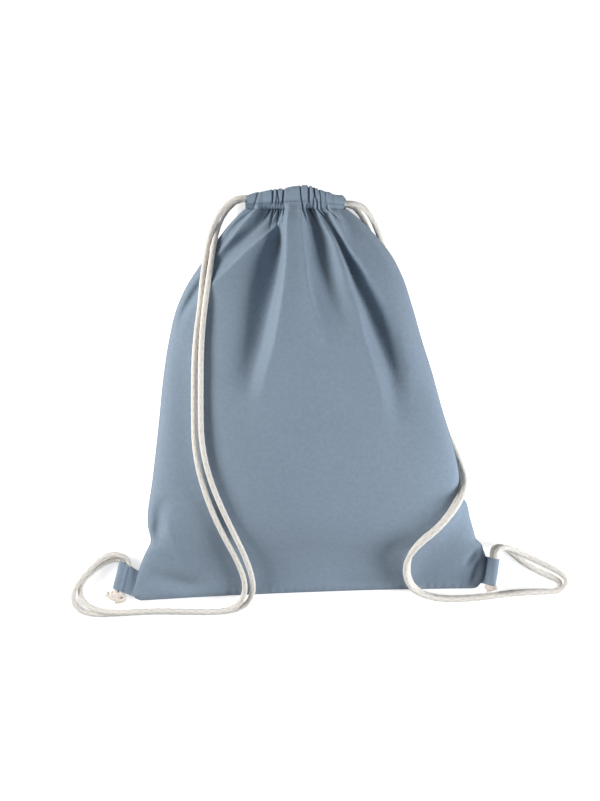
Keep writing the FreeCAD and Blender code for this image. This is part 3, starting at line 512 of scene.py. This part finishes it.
def tube(name, line, radius, gap=0.0007, sides=20, strands=8, lay=0.012, material=CORD, depth=0.09,
         phase=0.0):
    """A braided cord round a line, in metres: strands that wind both ways over and under each other."""
    centre, at = spaced(line, gap)
    way = np.gradient(centre, axis=0)
    way /= np.linalg.norm(way, axis=1)[:, None]
    side = np.zeros_like(centre)
    start = np.cross(way[0], [0, 0, 1.0])
    if np.linalg.norm(start) < 0.1:
        start = np.cross(way[0], [0, 1.0, 0])
    side[0] = start / np.linalg.norm(start)
    for number in range(1, len(centre)):
        step = side[number - 1] - way[number] * np.dot(side[number - 1], way[number])
        side[number] = step / np.linalg.norm(step)
    other = np.cross(way, side)
    angle = np.linspace(0, 2 * math.pi, sides, endpoint=False)
    turns = 2 * math.pi * at[:, None] / lay + phase
    half = strands / 2
    right = np.cos(half * angle[None, :] - turns)
    left = np.cos(half * angle[None, :] + turns)
    over = np.cos(half * angle[None, :]) * np.cos(turns)
    relief = 0.5 + 0.5 * np.where(over > 0, np.maximum(right, left), np.maximum(right, left) * 0.6)
    relief = np.clip(0.25 + 0.75 * relief + 0.08 * noise(at[:, None] * 900, angle[None, :] * 2, 31), 0, 1)
    reach = radius * (1 - depth + 1.3 * depth * relief)
    ring = (np.cos(angle)[None, :, None] * side[:, None, :]
            + np.sin(angle)[None, :, None] * other[:, None, :])
    points = centre[:, None, :] + ring * reach[..., None]
    uv = np.dstack(np.meshgrid(angle * radius, at)) / MM
    return surface(name, points / MM, uv, closed=True, material=material, relief=relief), centre


def metres(points):
    return [tuple(value * MM for value in point) for point in points]


# Control points of the shoulder cords, from their casing to their tab (mm). Each left cord is in two
# lengths, an upper and a lower one.
LEFT_OUTER_UPPER = [
    (-62, 212, 23.4), (-72, 212, 23.4), (-83.9, 205.8, 23.7), (-94.9, 191.4, 24.7), (-102.6, 171.8, 27.8),
    (-107.1, 146.3, 36), (-110.2, 119, 48.2), (-111.9, 92.3, 55.7), (-115.1, 67.7, 60.9),
    (-117.1, 43.4, 64.7), (-117.8, 22.3, 67), (-117.8, 0.3, 67),
]
LEFT_INNER_UPPER = [
    (-62, 212, 4.8), (-72, 212, 4.8), (-82.3, 204, 6.5), (-92.2, 188.6, 14.5), (-97.4, 167.4, 29.6),
    (-100.6, 142.4, 43.2), (-103.8, 115.8, 53.7), (-107, 89.1, 60.2), (-109.2, 65.7, 64.2),
    (-110.2, 43.3, 67.3), (-110.5, 22.3, 69.7), (-110.5, 0.3, 69.7),
]
LEFT_OUTER_LOWER = [
    (-117.8, 0.3, 67), (-117.8, -21.7, 67),
    (-117.6, -46.7, 66.9), (-114.8, -72.9, 66.1), (-107.6, -101, 64.2), (-98.2, -127.5, 58.5),
    (-86, -154.5, 48.2), (-71.9, -181.4, 34.2), (-64.5, -204.9, 20.7), (-66.5, -222, 12.5), (-77, -234, 9.5),
    (-97, -238, 9.4), (-130, -237, 9.4), (-166, -236.5, 9.4), (-200, -238.5, 9.4), (-224, -237.5, 8.5),
    (-239, -231, 4.5), (-246, -219, 3.1), (-244.3, -207, 3.1), (-236.5, -198, 3.1), (-227.5, -190.6, 3.1),
    (-219.5, -185, 3.2), (-211, -181.4, 3.7), (-204.5, -180.6, 4.2), (-200.2, -182, 4.7),
    (-198.4, -185.3, 4.9),
]
LEFT_INNER_LOWER = [
    (-110.5, 0.3, 69.7), (-110.5, -21.7, 69.7),
    (-109.9, -46.7, 69.6), (-105.9, -72.8, 68.7), (-98.3, -98, 66.6), (-88.3, -122.5, 61.7),
    (-76.5, -148.4, 52.6), (-64.7, -173.8, 39.9), (-57.3, -197.3, 24.9), (-56, -215, 13), (-62.5, -229, 5),
    (-76, -236.5, 3.1), (-98, -239, 3.1), (-131, -238.5, 3.1), (-166, -238, 3.1), (-199, -240, 3.1),
    (-226, -241.5, 3.1), (-244, -238.5, 3.1), (-253.5, -228, 3.6), (-252, -214, 6.5), (-244.5, -202, 9.6),
    (-235.5, -192.5, 9.6), (-226.5, -183, 9.7), (-217.5, -176.5, 10.3), (-209, -174.6, 10.4),
    (-201.5, -175.8, 9.8), (-195.8, -178.6, 7.8), (-193, -182, 5.6), (-192.4, -186.8, 4.9),
]
RIGHT_OUTER = [
    (42, 205.8, 23.4), (52, 205.8, 23.4),
    (63, 202.2, 22), (71.5, 191.5, 18.5), (78, 178.5, 13), (84, 162.5, 7.2), (91, 141, 3.6),
    (102.5, 112, 3.1), (112.5, 82, 3.1), (121, 50, 3.1), (130, 18, 3.1),
    (139.8, -11, 3.8), (149.3, -32, 6.2), (157.3, -48, 9.4), (163.7, -62, 10.8), (169.2, -77, 13),
    (173, -91.5, 22.1), (170.8, -104.8, 36.6), (163.8, -117.8, 50.7),
    (152.5, -132.7, 54.2), (138.8, -147.3, 53.7), (122.8, -160.2, 50.7), (110.3, -175, 43.2),
    (107.3, -192.5, 31.4), (112.8, -208.4, 20.5), (123.2, -217, 13),
    (138.5, -222.6, 10), (157, -224.6, 9.6), (181, -223.4, 9.6), (203, -221, 9.6), (222, -218.2, 9.6),
    (240, -217, 9.6), (257, -216, 9.6), (273, -215.5, 9.6), (282.5, -211.5, 9.3), (285.5, -203.5, 8),
    (280, -196.5, 6), (267, -189, 4), (252, -182, 3.1), (240, -176.5, 4), (230.5, -171.5, 7.5),
    (221, -168, 12), (214.3, -167, 15.8), (209.9, -169, 17.4), (207.3, -172.5, 17.7), (206.6, -177.7, 17.7),
]
RIGHT_INNER = [
    (42, 205.8, 4.8), (50.2, 205.8, 4.8),
    (58.4, 199.4, 4.6), (65, 188, 4.2), (70.5, 175, 3.6), (77.3, 158.5, 3.1),
    (85.5, 136.5, 3.1), (96, 107, 3.1), (106, 77, 3.1), (114.5, 47, 3.1), (123.5, 16, 3.1),
    (132.5, -12.5, 3.1), (142.8, -34, 3.1), (153.5, -51, 3.1), (161.5, -65, 3.4), (167, -78, 6),
    (169.4, -92, 13.5), (168.3, -104.5, 26.5), (161.3, -116.7, 43.7),
    (151.3, -130.7, 46.5), (138.5, -145.4, 46), (122.8, -158.3, 43.3), (111.6, -173.8, 35.5),
    (110.4, -192.2, 23.6), (114.8, -206, 13.5), (123.8, -215, 6),
    (137.8, -221.2, 3.2), (156, -223.4, 3.1), (180, -222.4, 3.1), (202, -220.4, 3.1), (221, -217.3, 3.1),
    (238, -216.2, 3.1), (254, -215.6, 3.1), (264, -216.1, 3.1), (272.6, -216, 3.1), (278.4, -212, 3.1),
    (278.4, -205.4, 3.1), (272.8, -201.9, 3.1), (264, -198.3, 3.1),
    (248, -190.5, 3.1), (235, -182, 3.1), (226, -174.5, 3.4), (218.5, -168.4, 6.2), (212.2, -166.2, 9.7),
    (206.4, -167, 11.7), (203.6, -171.4, 12.3), (203.5, -177.2, 12.3),
]


# ------------------------------------------------------------------ tabs, knots, stitches
TAB_LENGTH = 30
# The line between a tab's two cord ends, out from its seam.
TAB_CORDS_OUT = 11.7
# How thick the cord of a knot is pulled, and the strands that each of its ends frays into.
KNOT_CORD_RADIUS = 2.35
FRAY_STRANDS = 46


class Tab:
    """A corner tab's own axes: out of its seam, along it, and up off it; the joint gives its place."""

    def __init__(self, side):
        joint = next(item for item in frame["joints"] if item["name"] == f"{side}_tab_fold")
        self.side = side
        self.root = np.array(joint["pos_m"]) / MM
        axis = np.array(joint["axis"], float)
        axis /= np.linalg.norm(axis)
        left = side == "left"
        self.along = -axis
        flat_out = np.array([-axis[1], axis[0], 0])
        self.flat_out = flat_out
        lift = math.radians(0 if left else 60)
        self.out = flat_out * math.cos(lift) + np.array([0, 0, math.sin(lift)])
        self.up = np.array([0, 0, math.cos(lift)]) - flat_out * math.sin(lift)
        # The cords enter at 0 on the left tab and at its other end on the right one.
        self.knot_end = TAB_LENGTH if left else 0
        self.knot_way = 1 if left else -1

    def world(self, out, along, up):
        out, along, up = np.broadcast_arrays(out, along, up)
        proud = np.maximum(out, 0)[..., None] * self.out + np.minimum(out, 0)[..., None] * self.flat_out
        return self.root + proud + along[..., None] * self.along + up[..., None] * self.up


def tab_cloth(tab):
    """A strip folded round both cord ends and sewn flat at its root."""
    angle = np.linspace(-math.pi / 2, math.pi / 2, 17)
    fold_out = 14.8 + 4.55 * np.cos(angle)
    fold_up = 4.45 * np.sin(angle)
    web_out = np.linspace(-6.5 if tab.side == "left" else -5.0, 14.0, 30)
    web_up = 0.7 + 3.75 * np.clip((web_out - 1.0) / 7, 0, 1) ** 0.8
    dip = 0.5 * np.exp(-((web_out - TAB_CORDS_OUT) / 1.6) ** 2)
    out = np.r_[web_out, fold_out, web_out[::-1]]
    up = np.r_[-web_up, fold_up, (web_up - dip)[::-1]]
    along = np.linspace(0.2, TAB_LENGTH - 0.2, 60)
    wobble = noise(along[:, None] / 5, out[None, :] / 5, 41 if tab.side == "left" else 42) * 0.22
    flare = 0.5 * np.exp(-np.minimum(along, TAB_LENGTH - along) / 2.0)
    up = up[None, :] + np.sign(up)[None, :] * (wobble + flare[:, None] * 0.5)
    out = out[None, :] + wobble * 0.8
    skew = 0.9 * np.sin(out / 7) * np.where(along[:, None] < 15, 1, -1) * 0.4
    place = along[:, None] + skew * np.exp(-np.minimum(along, TAB_LENGTH - along)[:, None] / 4)
    # The left tab lies on the floor and leans; the right one stands up.
    if tab.side == "left":
        place = place - (0.13 + 0.2 * (1 - along[:, None] / TAB_LENGTH)) * (out - 5)
        up = np.maximum(up, -4.55)
    points = tab.world(out, place, up)
    length = np.r_[0, np.cumsum(np.hypot(np.diff(fold_out), np.diff(fold_up)))]
    uv = np.dstack([place, np.broadcast_to(np.linspace(0, 46 + length[-1], out.shape[1]), out.shape)])
    made = surface(f"{tab.side}_tab_cloth", points[:, ::-1], uv[:, ::-1])
    return thicken(made, HEM_THICKNESS)


def threads(name, paths, upright, sides, radius, taper, material):
    """Short closed tubes along these paths (mm), in one mesh; each thins toward its end by the taper."""
    vertices = []
    faces = []
    angle = np.linspace(0, 2 * math.pi, sides, endpoint=False)
    for path in paths:
        way = np.gradient(path, axis=0)
        way /= np.linalg.norm(way, axis=1)[:, None]
        side = np.cross(way, upright)
        side /= np.linalg.norm(side, axis=1)[:, None]
        top = np.cross(side, way)
        base = len(vertices)
        for row in range(len(path)):
            thin = radius * (1 - taper * row / (len(path) - 1))
            for turn in angle:
                vertices.append(path[row] + thin * (math.cos(turn) * side[row] + math.sin(turn) * top[row]))
        for row in range(len(path) - 1):
            for column in range(sides):
                after = (column + 1) % sides
                faces.append((base + row * sides + column, base + row * sides + after,
                              base + (row + 1) * sides + after, base + (row + 1) * sides + column))
        faces.append(tuple(base + column for column in range(sides - 1, -1, -1)))
        faces.append(tuple(base + (len(path) - 1) * sides + column for column in range(sides)))
    mesh = bpy.data.meshes.new(name)
    mesh.from_pydata((np.array(vertices) * MM).tolist(), [], faces)
    mesh.polygons.foreach_set("use_smooth", np.ones(len(faces), dtype=bool))
    # A fixed relief of 0.85, so a cord material on these tubes takes only a little of its painted hollow
    # shade.
    attribute = mesh.attributes.new("relief", "FLOAT", "POINT")
    attribute.data.foreach_set("value", np.full(len(vertices), 0.85, np.float32))
    mesh.materials.append(material)
    made = bpy.data.objects.new(name, mesh)
    bpy.context.scene.collection.objects.link(made)
    return made


def stitches(name, line, pitch=3.1, length=2.3, radius=0.34):
    """A row of stitches along a line of points (mm): short thread arcs that dive at both ends."""
    centre, at = spaced(np.asarray(line, float), 0.25)
    arcs = []
    count = int(at[-1] / pitch)
    for number in range(count):
        start = (number + 0.5) * at[-1] / count - length / 2
        steps = np.linspace(0, 1, 9)
        path = np.stack([np.interp(start + steps * length, at, centre[:, axis]) for axis in range(3)], 1)
        path[:, 2] += np.sin(steps * math.pi) ** 0.6 * 0.45 - 0.25
        arcs.append(path)
    return threads(name, arcs, [0, 0, 1.0], 8, radius, 0.0, THREAD)


def edge_seam(name, line, radius=0.45):
    """A thin corded line of thread where two panels meet."""
    made, _ = tube(name, np.asarray(line) * MM, radius * MM, gap=0.0008, sides=8, strands=4, lay=0.0025,
                   material=THREAD, depth=0.25)
    return made


def knot(tab):
    """An overhand knot in both cord ends: each winds round the other and leaves a frayed tail."""
    first = tab.knot_end - tab.knot_way * 1.6
    way = tab.knot_way
    pieces = []
    # Out, along from the tab's mouth, and up, in the tab's own axes.
    loops = [
        [(8.6, 0, 0), (7.6, 3.5, 1.4), (11.5, 6.8, 2.3), (17.0, 7.4, 1.0), (19.4, 4.8, -1.2),
         (15.6, 2.4, -2.1), (9.8, 3.0, -1.9), (5.0, 5.6, -1.2), (3.8, 8.6, 0.6), (6.6, 10.6, 1.6),
         (12.4, 10.4, 1.7), (18.4, 9.6, 0.6), (22.2, 8.0, -0.4)],
        [(14.8, 0, 0), (16.2, 3.2, 1.2), (12.6, 4.6, 2.4), (6.4, 4.2, 1.6), (3.6, 6.4, -0.6),
         (6.4, 9.8, -1.9), (12.4, 11.2, -1.6), (18.4, 10.2, -0.6), (19.4, 7.2, 1.2), (15.2, 6.6, 2.3),
         (11.4, 8.4, 2.1), (11.0, 12.4, 0.6)],
    ]
    ends = []
    # The right knot is pulled tighter and sits up inside its tab's mouth.
    tight, tuck = (1, 0) if tab.side == "left" else (0.74, 2.6)
    for number, loop in enumerate(loops):
        route = [tab.world(TAB_CORDS_OUT + (out - TAB_CORDS_OUT) * tight,
                           first + way * (along * tight - tuck), up * tight) * MM for out, along, up in loop]
        line = follow([tuple(point) for point in route])
        made, _ = tube(f"{tab.side}_knot_cord_{number}", line, KNOT_CORD_RADIUS * MM, gap=0.0005,
                       lay=0.01, material=FRAYED, depth=0.13, phase=number)
        pieces.append(made)
        ends.append((line[-1], line[-1] - line[-6]))
    # Frayed ends: a brush of fine strands that spread.
    grow = np.random.default_rng(17 if tab.side == "left" else 19)
    for number, (start, heading) in enumerate(ends):
        start = start / MM
        heading = heading / np.linalg.norm(heading)
        strands = []
        aside = np.cross(heading, [0, 0, 1.0])
        aside /= np.linalg.norm(aside)
        above = np.cross(aside, heading)
        for _ in range(FRAY_STRANDS):
            turn = grow.uniform(0, 2 * math.pi)
            spread = aside * math.cos(turn) + above * math.sin(turn)
            base = start - heading * 1.2 + spread * math.sqrt(grow.uniform(0, 1)) * 2.0
            lean = spread * grow.uniform(0.1, 0.75)
            length = grow.uniform(2.4, 4.6)
            steps = np.linspace(0, 1, 6)[:, None]
            path = base + (heading + lean * steps) * steps * length
            path += grow.normal(0, 0.12, 3) * steps
            path[:, 2] = np.maximum(path[:, 2], 0.5)
            strands.append(path)
        fray = threads(f"{tab.side}_knot_fray_{number}", strands, [0.3, 0.2, 0.93], 5, 0.34, 0.55, FRAYED)
        pieces.append(fray)
    return pieces


def with_mouth(made):
    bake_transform(made)


front, front_points = front_panel()
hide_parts("front_panel_lower", "front_panel_upper")
with_mouth(front)

back = back_panel()
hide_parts("back_panel")
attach(back, "bag")

hem, hem_points = casing("front_hem", 23.5, True, front_points[-1])
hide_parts("front_casing")
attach(hem, "front_mouth")
back_hem, back_hem_points = casing("back_hem", 5.0, False, None)
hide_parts("back_casing")
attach(back_hem, "bag")

# The column of a casing's grid that its stitches follow, and how far they stand on the cloth.
STITCH_COLUMN = 45
STITCH_RISE = [0, 0, 0.35]
for name, points, body in (("front", hem_points, "front_mouth"), ("back", back_hem_points, "bag")):
    row = stitches(f"{name}_hem_stitches", points[:, STITCH_COLUMN] + STITCH_RISE)
    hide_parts(f"{name}_casing_thread")
    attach(row, body)

SEAMS = (
    ("left_side_seam", front_points[:, 0][::4]),
    ("right_side_seam", front_points[:, -1][::4]),
    ("bottom_seam", front_points[0][::3]),
)
for name, line in SEAMS:
    seam = edge_seam(name, line)
    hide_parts(f"{name}_thread")
    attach(seam, "bag")

for side in ("left", "right"):
    tab = Tab(side)
    cloth = tab_cloth(tab)
    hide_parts(f"{side}_tab")
    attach(cloth, f"{side}_tab")
    # The row runs across the tab's top face, close to its seam.
    along = np.linspace(1.4, TAB_LENGTH - 1.4, 40)
    top_row = stitches(f"{side}_tab_stitches", tab.world(6.6, along, 4.6), 2.8, 2.0)
    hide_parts(f"{side}_tab_thread")
    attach(top_row, f"{side}_tab")
    knot_pieces = knot(tab)
    for made in knot_pieces:
        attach(made, f"{side}_tab")
    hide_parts(f"{side}_knot")

CORDS = (
    ("left_outer_upper", "left_strap_outer_upper", LEFT_OUTER_UPPER, 0.3),
    ("left_inner_upper", "left_strap_inner_upper", LEFT_INNER_UPPER, 1.1),
    ("left_outer_lower", "left_strap_outer_lower", LEFT_OUTER_LOWER, 0.3),
    ("left_inner_lower", "left_strap_inner_lower", LEFT_INNER_LOWER, 1.1),
    ("right_outer", "right_strap_outer", RIGHT_OUTER, 2.0),
    ("right_inner", "right_strap_inner", RIGHT_INNER, 2.9),
)
for name, node, route, phase in CORDS:
    line = follow(metres(route))
    made, path = tube(f"{name}_cord", line, CORD_RADIUS * MM, phase=phase)
    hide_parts(node)
    if name.endswith("upper"):
        with_mouth(made)
    else:
        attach(made, "bag")

for name, node in frame["nodes"].items():
    if "pass" in name or "turn" in name or "tab_ends" in name:
        node.data.materials.clear()
        node.data.materials.append(CORD)
        # A fixed relief of 0.6 gives these pieces an even share of the cord's painted hollow shade.
        attribute = node.data.attributes.get("relief") or node.data.attributes.new("relief", "FLOAT", "POINT")
        attribute.data.foreach_set("value", np.full(len(node.data.vertices), 0.6, np.float32))


# ------------------------------------------------------------------ floor, light and camera
def floor_material():
    """Pale floor: plain white to the camera, except where the object's shadow falls on it."""
    made = Nodes("floor", (0.8, 0.8, 0.8), 0.9)
    tree = made.tree
    seen = tree.nodes.new("ShaderNodeLightPath")
    glow = tree.nodes.new("ShaderNodeEmission")
    glow.inputs["Color"].default_value = (1, 1, 1, 1)
    glow.inputs["Strength"].default_value = 0.62
    both = tree.nodes.new("ShaderNodeAddShader")
    choice = tree.nodes.new("ShaderNodeMixShader")
    ray = made.math("MAXIMUM", seen.outputs["Is Camera Ray"],
                    made.math("MAXIMUM", seen.outputs["Is Glossy Ray"], seen.outputs["Is Transmission Ray"]))
    made.join(made.shader.outputs[0], both.inputs[0])
    made.join(glow.outputs[0], both.inputs[1])
    made.join(ray, choice.inputs[0])
    made.join(made.shader.outputs[0], choice.inputs[1])
    made.join(both.outputs[0], choice.inputs[2])
    made.join(choice.outputs[0], tree.nodes["Material Output"].inputs["Surface"])
    return made.material


bpy.ops.mesh.primitive_plane_add(size=12, location=(0, 0, -0.0002))
floor = bpy.context.object
floor.name = "floor"
floor.data.materials.append(floor_material())

world = bpy.data.worlds.new("studio")
bpy.context.scene.world = world
world.use_nodes = True
sky = world.node_tree.nodes["Background"]
sky.inputs["Color"].default_value = (0.93, 0.96, 1, 1)
sky.inputs["Strength"].default_value = 0.22


def lamp(name, place, target, width, power, colour):
    light = bpy.data.lights.new(name, "AREA")
    light.size = width
    light.energy = power
    light.color = colour
    made = bpy.data.objects.new(name, light)
    made.location = place
    heading = np.array(target) - np.array(place)
    made.rotation_euler = Vector(heading).to_track_quat("-Z", "Y").to_euler()
    bpy.context.scene.collection.objects.link(made)


lamp("key", (-1.6, 0.32, 0.8), (0, 0.02, 0.03), 0.7, 34, (1, 0.99, 0.97))
lamp("side", (1.5, -0.4, 0.62), (0.05, -0.05, 0.03), 0.7, 28.5, (0.97, 0.985, 1))

camera_data = bpy.data.cameras.new("camera")
camera_data.lens = 85
camera_data.sensor_width = 36
camera = bpy.data.objects.new("camera", camera_data)
camera.location = (-0.0055, -0.0075, 2.068)
bpy.context.scene.collection.objects.link(camera)
bpy.context.scene.camera = camera
bpy.context.scene.view_settings.view_transform = "Standard"
